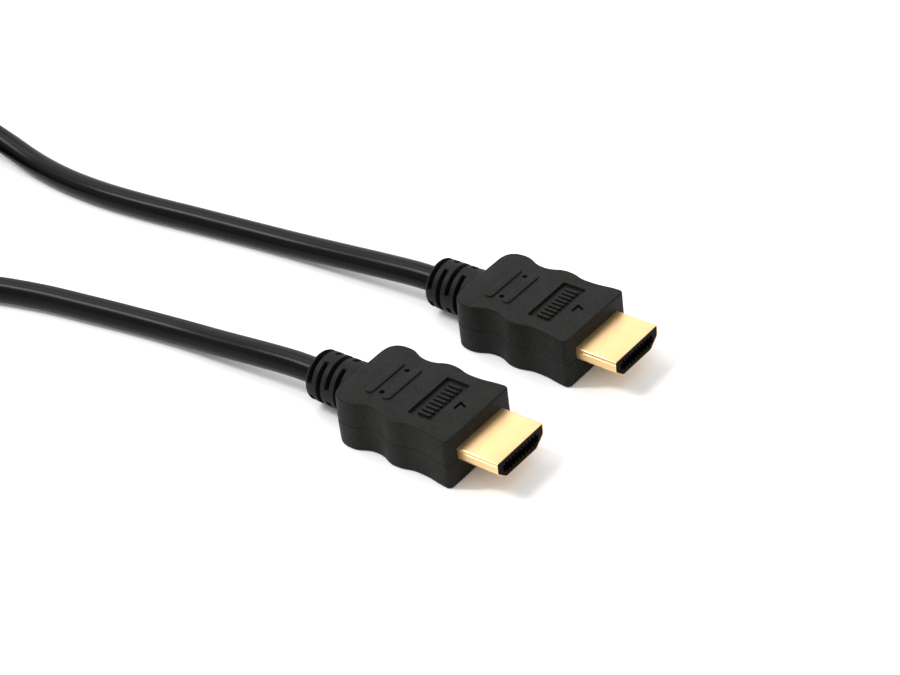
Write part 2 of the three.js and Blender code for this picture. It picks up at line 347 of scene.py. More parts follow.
# %% [markdown]
# The finishes come next. The plugs are PVC moulded in a mould whose walls were eroded to a fine grain, so
# the plastic is black, satin and very slightly uneven. Noise at two scales drives its colour, roughness
# and bump.

# %% Helper for finishes
NOISE_LOW, NOISE_HIGH = 0.3, 0.7


def new_finish(name):
    material = bpy.data.materials.new(name)
    material.use_nodes = True
    nodes = material.node_tree.nodes
    shader = nodes["Principled BSDF"]
    place = nodes.new("ShaderNodeTexCoord")
    return material, nodes, material.node_tree.links, shader, place.outputs["Object"]


def add_noise(nodes, links, place, scale, detail=3.0):
    noise = nodes.new("ShaderNodeTexNoise")
    noise.inputs["Scale"].default_value = scale
    noise.inputs["Detail"].default_value = detail
    links.new(place, noise.inputs["Vector"])
    return noise.outputs["Fac"]


def add_ramp(nodes, links, value, low, high, start=NOISE_LOW, end=NOISE_HIGH):
    """Maps a value between start and end to a blend of two colours."""
    ramp = nodes.new("ShaderNodeValToRGB")
    ramp.color_ramp.elements[0].position = start
    ramp.color_ramp.elements[1].position = end
    ramp.color_ramp.elements[0].color = (*low, 1)
    ramp.color_ramp.elements[1].color = (*high, 1)
    links.new(value, ramp.inputs["Fac"])
    return ramp.outputs["Color"]


def add_range(nodes, links, value, low, high):
    spread = nodes.new("ShaderNodeMapRange")
    spread.inputs["From Min"].default_value = NOISE_LOW
    spread.inputs["From Max"].default_value = NOISE_HIGH
    spread.inputs["To Min"].default_value = low
    spread.inputs["To Max"].default_value = high
    links.new(value, spread.inputs["Value"])
    return spread.outputs["Result"]


def add_bump(nodes, links, height, shader, distance, strength=1.0):
    bump = nodes.new("ShaderNodeBump")
    bump.inputs["Strength"].default_value = strength
    bump.inputs["Distance"].default_value = distance
    links.new(height, bump.inputs["Height"])
    links.new(bump.outputs["Normal"], shader.inputs["Normal"])


# %% [markdown]
# The grips are soft PVC with a dull, finely eroded face. A plain black would look like a hole in the
# picture, so the grain lightens the colour here and there and also raises the bump. The gloss is low.

# %% Plug PVC
def make_plug_pvc():
    material, nodes, links, shader, place = new_finish("plug_pvc")
    cloud = add_noise(nodes, links, place, 180)
    grain = add_noise(nodes, links, place, 2600, 6)
    colour = add_ramp(nodes, links, grain, (0.0052, 0.0056, 0.0049), (0.0122, 0.0128, 0.0112), 0.35, 0.65)
    links.new(colour, shader.inputs["Base Color"])
    links.new(add_range(nodes, links, cloud, 0.5, 0.6), shader.inputs["Roughness"])
    shader.inputs["Specular IOR Level"].default_value = 0.105
    add_bump(nodes, links, grain, shader, 0.00007, 0.8)
    return material


PLUG_PVC = make_plug_pvc()
print("made", PLUG_PVC.name)

# %% [markdown]
# The cable's jacket is extruded, not moulded, so it is smoother than the grips and shows a highlight. It
# has the same kinds of noise with a lower roughness and much less bump.

# %% Cable PVC
def make_cable_pvc():
    material, nodes, links, shader, place = new_finish("cable_pvc")
    cloud = add_noise(nodes, links, place, 90)
    grain = add_noise(nodes, links, place, 2600, 2)
    colour = add_ramp(nodes, links, cloud, (0.0012, 0.0013, 0.0013), (0.002, 0.002, 0.0018))
    links.new(colour, shader.inputs["Base Color"])
    links.new(add_range(nodes, links, cloud, 0.24, 0.28), shader.inputs["Roughness"])
    shader.inputs["Specular IOR Level"].default_value = 0.1
    add_bump(nodes, links, grain, shader, 0.00002, 0.3)
    return material


CABLE_PVC = make_cable_pvc()
cable.data.materials.append(CABLE_PVC)
print("made", CABLE_PVC.name)

# %% [markdown]
# The shell is drawn sheet with a thin gold plating. A plating shows the sheet under it, so its roughness
# has a faint grain along the way the sheet was rolled, and its colour drifts a little.

# %% Gold plating
def make_gold(name, low, high, roughness):
    material, nodes, links, shader, place = new_finish(name)
    stretch = nodes.new("ShaderNodeMapping")
    stretch.inputs["Scale"].default_value = (0.12, 1, 1)
    links.new(place, stretch.inputs["Vector"])
    rolled = add_noise(nodes, links, stretch.outputs["Vector"], 6000, 2)
    cloud = add_noise(nodes, links, place, 260)
    links.new(add_ramp(nodes, links, cloud, low, high), shader.inputs["Base Color"])
    links.new(add_range(nodes, links, rolled, *roughness), shader.inputs["Roughness"])
    shader.inputs["Metallic"].default_value = 1
    add_bump(nodes, links, rolled, shader, 0.000002, 0.2)
    return material


SHELL_GOLD = make_gold("shell_gold", (0.86, 0.58, 0.28), (0.89, 0.62, 0.32), (0.36, 0.42))
# The contacts carry the same plating as the shell, but their colour is set to about six tenths of the
# shell's: painted shade for the narrow mouth they sit in.
CONTACT_GOLD_SHADED = make_gold("contact_gold", (0.5, 0.34, 0.15), (0.56, 0.4, 0.18), (0.3, 0.4))


# %% [markdown]
# The insulator is a stiff, matt black plastic deep in the shell, where little light reaches. The tie is a
# soft band and a little lighter. They differ only in numbers, so one function makes both.

# %% Insulator and tie plastics
def make_plastic(name, low, high, roughness, specular):
    material, nodes, links, shader, place = new_finish(name)
    cloud = add_noise(nodes, links, place, 400)
    grain = add_noise(nodes, links, place, 4000, 2)
    links.new(add_ramp(nodes, links, cloud, low, high), shader.inputs["Base Color"])
    links.new(add_range(nodes, links, cloud, *roughness), shader.inputs["Roughness"])
    shader.inputs["Specular IOR Level"].default_value = specular
    add_bump(nodes, links, grain, shader, 0.00002, 0.4)
    return material


INSULATOR_PLASTIC = make_plastic("insulator_plastic", (0.002,) * 3, (0.0035,) * 3, (0.5, 0.6), 0.04)
TIE_PLASTIC = make_plastic("tie_plastic", (0.01,) * 3, (0.018,) * 3, (0.6, 0.75), 0.3)

# %% [markdown]
# The grip's flanks swing in and out so that fingers find a hold. Each swing is one cubic curve between a
# widest and a narrowest place, level at both, which is how a designer would draw it.

# %% The grip's outline
GRIP_LENGTH = 27.5
FRONT_CORNER = 1.2
REAR_BACK = 23.5
REAR_HALF = 9.79
REAR_CORNER = 4.0
STATIONS = [(0, 9.7), (-8.1, 8.95), (-12.9, 9.7), (-18.1, 8.45), (-REAR_BACK, REAR_HALF)]
SWING_STEPS = 14
CORNER_STEPS = 8
LEAST_STEP = 0.2


def cubic(a, b, c, d, t):
    s = 1 - t
    return s**3 * a + 3 * s * s * t * b + 3 * s * t * t * c + t**3 * d


def flank():
    """One side of the grip, from the front corner to the middle of the back."""
    front = STATIONS[0][1]
    points = []
    for i in range(CORNER_STEPS + 1):
        angle = math.pi / 2 * i / CORNER_STEPS
        x = -FRONT_CORNER * (1 - math.cos(angle))
        points.append((x, front - FRONT_CORNER * (1 - math.sin(angle))))
    for (ax, ay), (bx, by) in zip(STATIONS, STATIONS[1:]):
        middle = (ax + bx) / 2
        for i in range(1, SWING_STEPS + 1):
            t = i / SWING_STEPS
            x = cubic(ax, middle, middle, bx, t)
            if x < points[-1][0] - LEAST_STEP:
                points.append((x, cubic(ay, ay, by, by, t)))
    for i in range(1, CORNER_STEPS + 1):
        t = i / CORNER_STEPS
        x = (1 - t) ** 2 * -REAR_BACK + (2 * t * (1 - t) + t * t) * -GRIP_LENGTH
        y = ((1 - t) ** 2 + 2 * t * (1 - t)) * REAR_HALF + t * t * (REAR_HALF - REAR_CORNER)
        points.append((x, y))
    return points


def grip_outline():
    one = flank()
    return one + [(x, -y) for x, y in reversed(one)]


def inset(outline, distance):
    """Moves each point of a closed outline inwards."""
    count = len(outline)
    area = sum(
        outline[i][0] * outline[(i + 1) % count][1] - outline[(i + 1) % count][0] * outline[i][1]
        for i in range(count)
    )
    turn = 1 if area > 0 else -1
    moved = []
    for i, point in enumerate(outline):
        before = Vector(point) - Vector(outline[i - 1])
        after = Vector(outline[(i + 1) % count]) - Vector(point)
        along = (before.normalized() + after.normalized()).normalized()
        miter = max(0.5, math.sqrt((1 + before.normalized().dot(after.normalized())) / 2))
        inwards = Vector((-along.y, along.x)) * turn
        moved.append(Vector(point) + inwards * distance / miter)
    return moved


print("points round the grip:", len(grip_outline()))

# %% [markdown]
# The two halves of the mould part at mid-height. The walls lean inwards from there, so that the grip comes
# out of the mould, and a hairline shows where the halves met. A stack of outlines, each a little smaller
# than the one nearer the parting line, gives the walls and the rounded edges in one skin.

# %% The grip's body
EDGE_RADIUS = 0.4
EDGE_STEPS = 5
WALL_LEAN = 0.1
PARTING_HALF = 0.13
PARTING_DEPTH = 0.1


def wall_levels():
    """Heights above the parting line, each with how far the wall has moved inwards."""
    levels = [(PARTING_HALF / 3, PARTING_DEPTH), (PARTING_HALF, 0.0)]
    straight = AXIS_HEIGHT - EDGE_RADIUS
    for share in (0.5, 1):
        levels.append((straight * share, WALL_LEAN * share))
    for i in range(1, EDGE_STEPS + 1):
        angle = math.pi / 2 * i / EDGE_STEPS
        rise = EDGE_RADIUS * math.sin(angle)
        levels.append((straight + rise, WALL_LEAN + EDGE_RADIUS * (1 - math.cos(angle))))
    return levels


def make_grip():
    outline = grip_outline()
    levels = wall_levels()
    stack = [(AXIS_HEIGHT - rise, lean) for rise, lean in reversed(levels)]
    stack += [(AXIS_HEIGHT + rise, lean) for rise, lean in levels]
    rings = [[(p.x, p.y, z) for p in inset(outline, lean)] for z, lean in stack]
    return loft("grip", rings)


grip = make_grip()
print("grip faces:", len(grip.data.polygons))

# %% [markdown]
# The strain relief is moulded in one with the grip. It is a short round neck that slots make flexible:
# each slot runs round the neck but for a web on two sides, and each pair of webs is a quarter turn from
# the last. The neck is a turned profile. The slots repeat, so Geometry Nodes copy one cutter along the
# neck.

# %% The neck
RELIEF_LENGTH = 10.3
RELIEF_ROOT = 5.2
RELIEF_END = 5.05
RELIEF_LIP = 0.9
RELIEF_OVERLAP = 1.0
ROUND_SIDES = 96


def around(radius, x):
    ring = []
    for i in range(ROUND_SIDES):
        angle = 2 * math.pi * i / ROUND_SIDES
        ring.append((x, radius * math.cos(angle), AXIS_HEIGHT + radius * math.sin(angle)))
    return ring


def make_neck():
    profile = [(-RELIEF_OVERLAP, RELIEF_ROOT), (0, RELIEF_ROOT)]
    straight = RELIEF_LENGTH - RELIEF_LIP
    profile += [(straight / 2, (RELIEF_ROOT + RELIEF_END) / 2), (straight, RELIEF_END)]
    for i in range(1, EDGE_STEPS + 1):
        angle = math.pi / 2 * i / EDGE_STEPS
        back = straight + RELIEF_LIP * math.sin(angle)
        profile.append((back, RELIEF_END - RELIEF_LIP * (1 - math.cos(angle))))
    return loft("neck", [around(radius, -GRIP_LENGTH - back) for back, radius in profile])


neck = make_neck()

# %% [markdown]
# Many things in this part repeat along a line: slots, ribs, grooves and contacts. Loops in Python could
# copy them, but one Geometry Nodes tree does it for all, with inputs for the count, the step and the turn
# from one copy to the next. It ends by making the copies real and giving them their material.

# %% The copying tree
def add_socket(tree, name, kind, default=None):
    socket = tree.interface.new_socket(name, in_out="INPUT", socket_type=kind)
    if default is not None:
        socket.default_value = default
    return socket.identifier


def make_row_tree():
    """Copies the mesh it is given along a line, and may turn each copy about X."""
    tree = bpy.data.node_groups.new("row_of_copies", "GeometryNodeTree")
    ids = {"Geometry": add_socket(tree, "Geometry", "NodeSocketGeometry")}
    ids["Count"] = add_socket(tree, "Count", "NodeSocketInt", 4)
    ids["Start"] = add_socket(tree, "Start", "NodeSocketVector")
    ids["Step"] = add_socket(tree, "Step", "NodeSocketVector")
    ids["Turn"] = add_socket(tree, "Turn", "NodeSocketFloat", 0.0)
    ids["Material"] = add_socket(tree, "Material", "NodeSocketMaterial")
    tree.interface.new_socket("Geometry", in_out="OUTPUT", socket_type="NodeSocketGeometry")
    nodes, links = tree.nodes, tree.links
    given = nodes.new("NodeGroupInput")
    result = nodes.new("NodeGroupOutput")
    line = nodes.new("GeometryNodeMeshLine")
    links.new(given.outputs["Count"], line.inputs["Count"])
    links.new(given.outputs["Start"], line.inputs["Start Location"])
    links.new(given.outputs["Step"], line.inputs["Offset"])
    index = nodes.new("GeometryNodeInputIndex")
    turn = nodes.new("ShaderNodeMath")
    turn.operation = "MULTIPLY"
    links.new(index.outputs["Index"], turn.inputs[0])
    links.new(given.outputs["Turn"], turn.inputs[1])
    rotation = nodes.new("ShaderNodeCombineXYZ")
    links.new(turn.outputs["Value"], rotation.inputs["X"])
    copies = nodes.new("GeometryNodeInstanceOnPoints")
    links.new(line.outputs["Mesh"], copies.inputs["Points"])
    links.new(given.outputs["Geometry"], copies.inputs["Instance"])
    links.new(rotation.outputs["Vector"], copies.inputs["Rotation"])
    real = nodes.new("GeometryNodeRealizeInstances")
    links.new(copies.outputs["Instances"], real.inputs["Geometry"])
    finish = nodes.new("GeometryNodeSetMaterial")
    links.new(real.outputs["Geometry"], finish.inputs["Geometry"])
    links.new(given.outputs["Material"], finish.inputs["Material"])
    links.new(finish.outputs["Geometry"], result.inputs["Geometry"])
    return tree, ids


ROW_TREE, ROW_IDS = make_row_tree()


def row_of(made, count, start, step, material, turn=0.0):
    """Replaces a mesh by a row of copies of it."""
    row = made.modifiers.new("row", "NODES")
    row.node_group = ROW_TREE
    row[ROW_IDS["Count"]] = count
    row[ROW_IDS["Start"]] = start
    row[ROW_IDS["Step"]] = step
    row[ROW_IDS["Turn"]] = turn
    row[ROW_IDS["Material"]] = material
    made.data.update()
    return baked(made)


# %% [markdown]
# A slot's cutter is two arcs of a ring, and the gaps between the arcs leave the webs. Each copy is turned
# by a quarter, so the webs cross over from slot to slot and the neck can bend in every direction.

# %% The slots
SLOT_COUNT = 4
SLOT_PITCH = 2.15
SLOT_WIDTH = 1.12
SLOT_FLOOR = 3.7
SLOT_REACH = 6.4
SLOT_END_MARGIN = 1.3
WEB_WIDTH = 2.6
ARC_STEPS = 28


def make_slot_cutter():
    """Two arcs of a ring about the X axis, with a web's width left between their ends."""
    points, faces = [], []
    for side in (1, -1):
        base = len(points)
        for i in range(ARC_STEPS + 1):
            for radius in (SLOT_FLOOR, SLOT_REACH):
                end = math.asin(WEB_WIDTH / 2 / radius)
                angle = side * (end + (math.pi - 2 * end) * i / ARC_STEPS)
                for x in (-SLOT_WIDTH / 2, SLOT_WIDTH / 2):
                    points.append((x, radius * math.cos(angle), radius * math.sin(angle)))
        for i in range(ARC_STEPS):
            a, b = base + 4 * i, base + 4 * (i + 1)
            faces += [(a, a + 1, b + 1, b), (a + 2, b + 2, b + 3, a + 3)]
            faces += [(a, b, b + 2, a + 2), (a + 1, a + 3, b + 3, b + 1)]
        last = base + 4 * ARC_STEPS
        faces += [(base, base + 2, base + 3, base + 1), (last, last + 1, last + 3, last + 2)]
    cutter = add_mesh("slot_cutter", points, faces)
    face_outwards(cutter)
    return cutter


slot_start = (-GRIP_LENGTH - RELIEF_LENGTH + SLOT_END_MARGIN, 0, AXIS_HEIGHT)
slots = row_of(make_slot_cutter(), SLOT_COUNT, slot_start, (SLOT_PITCH, 0, 0), PLUG_PVC, math.pi / 2)
neck = combine(neck, slots, "DIFFERENCE")
print("neck faces after slotting:", len(neck.data.polygons))

# %% [markdown]
# On top of the grip are a sunk panel, two raised bars with a dimple beside each end, and a small angle
# mark. Each is a block with rounded corners that is cut out of the grip or joined to it. A plain row of
# ribs fills the panel, which gives the fingertip some hold.

# %% Rounded blocks
BLOCK_STEPS = 4


def rounded_rectangle(length, width, radius, steps=6):
    points = []
    for cx, cy, start in ((1, 1, 0), (-1, 1, 1), (-1, -1, 2), (1, -1, 3)):
        for i in range(steps + 1):
            angle = math.pi / 2 * (start + i / steps)
            x = cx * (length / 2 - radius) + radius * math.cos(angle)
            points.append((x, cy * (width / 2 - radius) + radius * math.sin(angle)))
    return points


def rounded_block(name, middle, size, radius, bottom, top, edge=0.0, lean=0.0):
    """An upright block. edge rounds its top, and lean narrows it towards the bottom."""
    outline = rounded_rectangle(*size, radius)
    levels = [(bottom, lean), (top - edge, 0.0)]
    for i in range(1, BLOCK_STEPS + 1) if edge else ():
        angle = math.pi / 2 * i / BLOCK_STEPS
        levels.append((top - edge + edge * math.sin(angle), edge * (1 - math.cos(angle))))
    rings = [
        [(middle[0] + p.x, middle[1] + p.y, z) for p in inset(outline, narrower)]
        for z, narrower in levels
    ]
    return loft(name, rings)


# %% [markdown]
# The panel is a shallow pocket with upright walls and a nearly sharp floor, as a mould insert leaves it.
# Cutting a block out of the grip gives just that. The ribs stand on its floor and stop below its rim.

# %% The panel and its ribs
PANEL_FRONT = -6.4
PANEL_LENGTH = 5.3
PANEL_WIDTH = 12.2
PANEL_DEPTH = 0.6
PANEL_CORNER = 0.35
PANEL_LEAN = 0.06
RIB_COUNT = 9
RIB_PITCH = 1.15
RIB_LENGTH = 2.9
RIB_WIDTH = 0.62
RIB_CORNER = 0.25
RIB_EDGE = 0.1
RIBS_FORWARD = 0.2
RIB_ROOT = 0.3
RIB_BELOW_TOP = 0.08
ABOVE = 1.0
panel_middle = (PANEL_FRONT - PANEL_LENGTH / 2, 0)
panel_floor = GRIP_HEIGHT - PANEL_DEPTH
panel_size = (PANEL_LENGTH, PANEL_WIDTH)
panel = rounded_block(
    "panel", panel_middle, panel_size, PANEL_CORNER, panel_floor, GRIP_HEIGHT + ABOVE, lean=PANEL_LEAN
)
grip = combine(grip, panel, "DIFFERENCE")
rib_low, rib_high = panel_floor - RIB_ROOT, GRIP_HEIGHT - RIB_BELOW_TOP
rib_size = (RIB_LENGTH, RIB_WIDTH)
rib = rounded_block("rib", (0, 0), rib_size, RIB_CORNER, rib_low, rib_high, edge=RIB_EDGE)
rib_start = (panel_middle[0] + RIBS_FORWARD, -RIB_PITCH * (RIB_COUNT - 1) / 2, 0)
ribs = row_of(rib, RIB_COUNT, rib_start, (0, RIB_PITCH, 0), PLUG_PVC)
grip = combine(grip, ribs, "UNION")
print("ribs:", RIB_COUNT, "across", round(RIB_PITCH * (RIB_COUNT - 1) + RIB_WIDTH, 2), "mm")

# %% [markdown]
# The bars stand proud of the grip by a third of a millimetre, and the dimples look like the traces of the
# pins that push a moulding out of its mould. The small angle is sunk deeper, so it reads as a black line.
# All are blocks again, and the angle's two strokes are turned to their directions.

# %% The bars, dimples and angle mark
BAR_LENGTH = 10.5
BAR_WIDTH = 1.8
BAR_HEIGHT = 0.3
BAR_FRONTS = (-16.7, -20.7)
BAR_CORNER = 0.8
BAR_EDGE = 0.12
BAR_CLEAR = 0.02
DIMPLE_RADIUS = 0.6
DIMPLE_SPACING = 7.5
DIMPLE_FROM_BAR = 0.8
DIMPLE_DEPTH = 0.6
DIMPLE_CORNER = DIMPLE_RADIUS * 0.98
DIMPLE_LEAN = 0.12
for bar_front in BAR_FRONTS:
    bar = rounded_block(
        "bar",
        (bar_front - BAR_WIDTH / 2, 0),
        (BAR_WIDTH, BAR_LENGTH),
        BAR_CORNER,
        GRIP_HEIGHT - ABOVE,
        GRIP_HEIGHT + BAR_HEIGHT - BAR_CLEAR,
        edge=BAR_EDGE,
    )
    grip = combine(grip, bar, "UNION")
dimple_x = BAR_FRONTS[0] - BAR_WIDTH - DIMPLE_FROM_BAR
for side in (-1, 1):
    middle = (dimple_x, side * DIMPLE_SPACING / 2)
    size = (2 * DIMPLE_RADIUS, 2 * DIMPLE_RADIUS)
    low, high = GRIP_HEIGHT - DIMPLE_DEPTH, GRIP_HEIGHT + ABOVE
    dimple = rounded_block("dimple", middle, size, DIMPLE_CORNER, low, high, lean=DIMPLE_LEAN)
    grip = combine(grip, dimple, "DIFFERENCE")
MARK_DEPTH = 0.9
MARK_WIDTH = 0.66
MARK_ROUNDING = MARK_WIDTH * 0.3
MARK_LEAN = 0.08
MARK_CORNER = Vector((-4.9, 1.15))
MARK_ENDS = (Vector((-4.9, -0.6)), Vector((-3.6, 0.6)))
for end in MARK_ENDS:
    arm = MARK_CORNER - end
    size = (MARK_WIDTH, arm.length + MARK_WIDTH)
    low, high = GRIP_HEIGHT - MARK_DEPTH, GRIP_HEIGHT + ABOVE
    stroke = rounded_block("stroke", (0, 0), size, MARK_ROUNDING, low, high, lean=MARK_LEAN)
    turn = Matrix.Rotation(math.atan2(-arm.x, arm.y), 4, "Z")
    stroke.data.transform(Matrix.Translation((*(MARK_CORNER + end) / 2, 0)) @ turn)
    grip = combine(grip, stroke, "DIFFERENCE")
print("grip faces with its marks:", len(grip.data.polygons))

# %% [markdown]
# The grip is moulded round the shell, so the shell's outline is its socket. Then the neck joins the grip.

# %% The shell's outline
shell_low, shell_high = (corner - plug_origin("a") for corner in box_mm("plug_a_shell"))
SHELL_SEAT = -shell_low.x
SHELL_FRONT = shell_high.x
SHELL_TOP = shell_high.z
SHELL_HALF = shell_high.y
SHELL_SIDE = 2.4
SHELL_HEIGHT = shell_high.z - shell_low.z
FOOT_HALF = 4.6
SHELL_CORNER = 0.42
SHELL_WALL = 0.3
SHELL_RIM = 0.17
SEAM_DROP = 0.6
SEAM_HALF = 0.12
SEAM_DEPTH = 0.2
CORNER_POINTS = 7


def shell_outline():
    """The connector's section as (y, z): upright sides that taper to a narrower foot."""
    corners = [
        (SHELL_HALF, SHELL_TOP),
        (-SHELL_HALF, SHELL_TOP),
        (-SHELL_HALF, SHELL_TOP - SHELL_SIDE),
        (-FOOT_HALF, SHELL_TOP - SHELL_HEIGHT),
        (FOOT_HALF, SHELL_TOP - SHELL_HEIGHT),
        (SHELL_HALF, SHELL_TOP - SHELL_SIDE),
    ]
    outline = []
    for i, corner in enumerate(corners):
        if i in (0, 2):
            rising = 1 if i == 0 else -1
            side = SHELL_HALF * rising
            for step in (-1, 0, 1):
                outline.append(Vector((side, SHELL_TOP - SEAM_DROP + step * rising * SEAM_HALF)))
        corner = Vector(corner)
        before = (Vector(corners[i - 1]) - corner).normalized() * SHELL_CORNER
        after = (Vector(corners[(i + 1) % len(corners)]) - corner).normalized() * SHELL_CORNER
        for k in range(CORNER_POINTS):
            t = k / (CORNER_POINTS - 1)
            outline.append(corner + before * (1 - t) ** 2 + after * t * t)
    return [(p.x, p.y) for p in outline]


def shell_ring(x, distance, seam=0.0):
    """One section of the shell. seam presses the seam's middle line inwards."""
    ring = []
    for (y, z), p in zip(shell_outline(), inset(shell_outline(), distance)):
        on_seam = abs(z - (SHELL_TOP - SEAM_DROP)) < SEAM_HALF / 2
        ring.append((x, p.x - math.copysign(seam, p.x) * on_seam, p.y))
    return ring


SEAT_SINK = 0.02
SOCKET_END = 0.3
socket = loft("socket", [shell_ring(x, -SEAT_SINK) for x in (-SHELL_SEAT - SOCKET_END, 1)])
grip = combine(grip, socket, "DIFFERENCE")
overmould = combine(grip, neck, "UNION")
print("overmould faces:", len(overmould.data.polygons))

# %% [markdown]
# The shell is one folded sheet. It thins towards its rim, which tumbling rounds before the plating, and a
# fine seam runs along each flank where the sheet is joined. Its profile goes out along the outside, round
# the rim and back along the inside, and a loft closes it on itself.

# %% The shell
RIM_STEPS = 5
THINNED_LENGTH = 0.7


def make_shell():
    half = SHELL_RIM / 2
    path = [(-SHELL_SEAT, 0.0, SEAM_DEPTH), (SHELL_FRONT / 2, 0.0, SEAM_DEPTH)]
    for i in range(RIM_STEPS + 1):
        angle = math.pi * i / RIM_STEPS
        seam = SEAM_DEPTH if i == 0 else 0.0
        path.append((SHELL_FRONT - half + half * math.sin(angle), half * (1 - math.cos(angle)), seam))
    path += [(SHELL_FRONT - THINNED_LENGTH, SHELL_WALL, 0.0), (-SHELL_SEAT, SHELL_WALL, 0.0)]
    return loft("shell", [shell_ring(*stop) for stop in path], closed=True)


shell = make_shell()
print("shell stands out by, mm:", round(SHELL_FRONT, 2))

# %% [markdown]
# Inside the shell a black insulator carries the contacts. Its mouth takes the socket's tongue, and a
# groove for each contact opens into the mouth: ten above and nine below, half a pitch apart. The grooves
# and the contacts repeat at one pitch, so the same tree that made the slots makes them.

# %% The insulator
INSULATOR_FRONT = SHELL_FRONT - 0.03
INSULATOR_GAP = 0.03
INSULATOR_SEAT_GAP = 0.1
INSULATOR_TAPER_START = SHELL_FRONT - 0.75
INSULATOR_BEVEL_LENGTH = 0.08
INSULATOR_BEVEL_DEPTH = 0.06
MOUTH_WIDTH = 10.6
MOUTH_HEIGHT = 1.5
MOUTH_DEPTH = 7.6
MOUTH_EDGE = 0.15
MOUTH_MIDDLE = SHELL_TOP - SHELL_HEIGHT / 2
CONTACT_PITCH = 1.0
CONTACT_ROWS = ((10, 1), (9, -1))
GROOVE_WIDTH = 0.62
GROOVE_DEPTH = 0.5
GROOVE_LENGTH = 2 * MOUTH_DEPTH - 0.4
GROOVE_EDGE = 0.06
END_BEVEL = 0.8


def bar_along_x(name, size, middle, edge):
    """A bar with rounded edges, its length along X."""
    rings = []
    half = size[0] / 2
    for x, distance in ((-half, edge), (-half + edge, 0), (half - edge, 0), (half, edge)):
        section = inset(rounded_rectangle(size[1], size[2], edge, 3), distance * END_BEVEL)
        rings.append([(middle[0] + x, middle[1] + p.x, middle[2] + p.y) for p in section])
    return loft(name, rings)


def make_insulator():
    back = -SHELL_SEAT + INSULATOR_SEAT_GAP
    gap = SHELL_WALL + INSULATOR_GAP
    rim = SHELL_RIM + INSULATOR_GAP
    rings = [shell_ring(back, gap), shell_ring(INSULATOR_TAPER_START, gap)]
    rings.append(shell_ring(INSULATOR_FRONT - INSULATOR_BEVEL_LENGTH, rim))
    rings.append(shell_ring(INSULATOR_FRONT, rim + INSULATOR_BEVEL_DEPTH))
    made = loft("insulator", rings)
    size = (2 * MOUTH_DEPTH, MOUTH_WIDTH, MOUTH_HEIGHT)
    mouth = bar_along_x("mouth", size, (INSULATOR_FRONT, 0, MOUTH_MIDDLE), MOUTH_EDGE)
    made = combine(made, mouth, "DIFFERENCE")
    for count, side in CONTACT_ROWS:
        depth = MOUTH_HEIGHT / 2 + GROOVE_DEPTH
        groove = bar_along_x("groove", (GROOVE_LENGTH, GROOVE_WIDTH, depth), (0, 0, 0), GROOVE_EDGE)
        start = (INSULATOR_FRONT, -CONTACT_PITCH * (count - 1) / 2, MOUTH_MIDDLE + side * depth / 2)
        made = combine(
            made, row_of(groove, count, start, (0, CONTACT_PITCH, 0), INSULATOR_PLASTIC), "DIFFERENCE"
        )
    return made


insulator = make_insulator()
print("insulator faces:", len(insulator.data.polygons))

# %% [markdown]
# A contact is a thin sprung blade: it lies in its groove at the back, bows out into the mouth to press on
# the tongue, and dips back into its groove at the tip, so that the tongue slides over it.

# %% The contacts
CONTACT_WIDTH = 0.4
CONTACT_THICKNESS = 0.14
CONTACT_LENGTH = 6.6
CONTACT_TIP = 1.3
CONTACT_BOW = 0.5
CONTACT_IN_GROOVE = 0.3
BOW_STEPS = 16
BOW_AT = 0.22
BOW_SPREAD = 0.16


def make_contact(side):
    rings = []
    for i in range(BOW_STEPS + 1):
        share = i / BOW_STEPS
        x = INSULATOR_FRONT - CONTACT_TIP - CONTACT_LENGTH * share
        bow = CONTACT_BOW * math.exp(-(((share - BOW_AT) / BOW_SPREAD) ** 2))
        z = side * (MOUTH_HEIGHT / 2 + CONTACT_IN_GROOVE - bow)
        half, thick = CONTACT_WIDTH / 2, CONTACT_THICKNESS / 2
        corners = ((-half, -thick), (half, -thick), (half, thick), (-half, thick))
        rings.append([(x, y, z + rise) for y, rise in corners])
    return loft("contact", rings)


contact_rows = []
for count, side in CONTACT_ROWS:
    start = (0, -CONTACT_PITCH * (count - 1) / 2, MOUTH_MIDDLE)
    contact_rows.append(row_of(make_contact(side), count, start, (0, CONTACT_PITCH, 0), CONTACT_GOLD_SHADED))
contacts = combine(contact_rows[0], contact_rows[1], "UNION")
print("contact faces:", len(contacts.data.polygons))

# %% [markdown]
# Both plugs are the same moulding, so each piece above is copied to both. Each copy takes its finish, hides
# the solids it stands for, and moves with the one body this part has.

# %% Dress both plugs
def dress(template, kind, material, nodes_of):
    template.data.materials.clear()
    template.data.materials.append(material)
    for plug in "ab":
        made = settle(template, f"plug_{plug}_{kind}_looks", plug)
        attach(made, "root")
        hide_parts(*nodes_of(plug))
    bpy.data.objects.remove(template)


dress(overmould, "overmould", PLUG_PVC, lambda plug: [f"plug_{plug}_overmould"])
dress(shell, "shell", SHELL_GOLD, lambda plug: [f"plug_{plug}_shell"])
dress(
    insulator,
    "insulator",
    INSULATOR_PLASTIC,
    lambda plug: [f"plug_{plug}_insulator"],
)
dress(
    contacts,
    "contacts",
    CONTACT_GOLD_SHADED,
    lambda plug: [f"plug_{plug}_contact_{i:02d}" for i in range(1, 20)],
)

# %% [markdown]
# One soft band holds the coil. It passes under the turns, which ride over it, so nothing sinks in the
# table.

# %% The tie
tie_low, tie_high = box_mm("coil_tie")
TIE_THICKNESS = 0.6
TIE_EDGE = 0.12
TIE_CORNER = 2.4


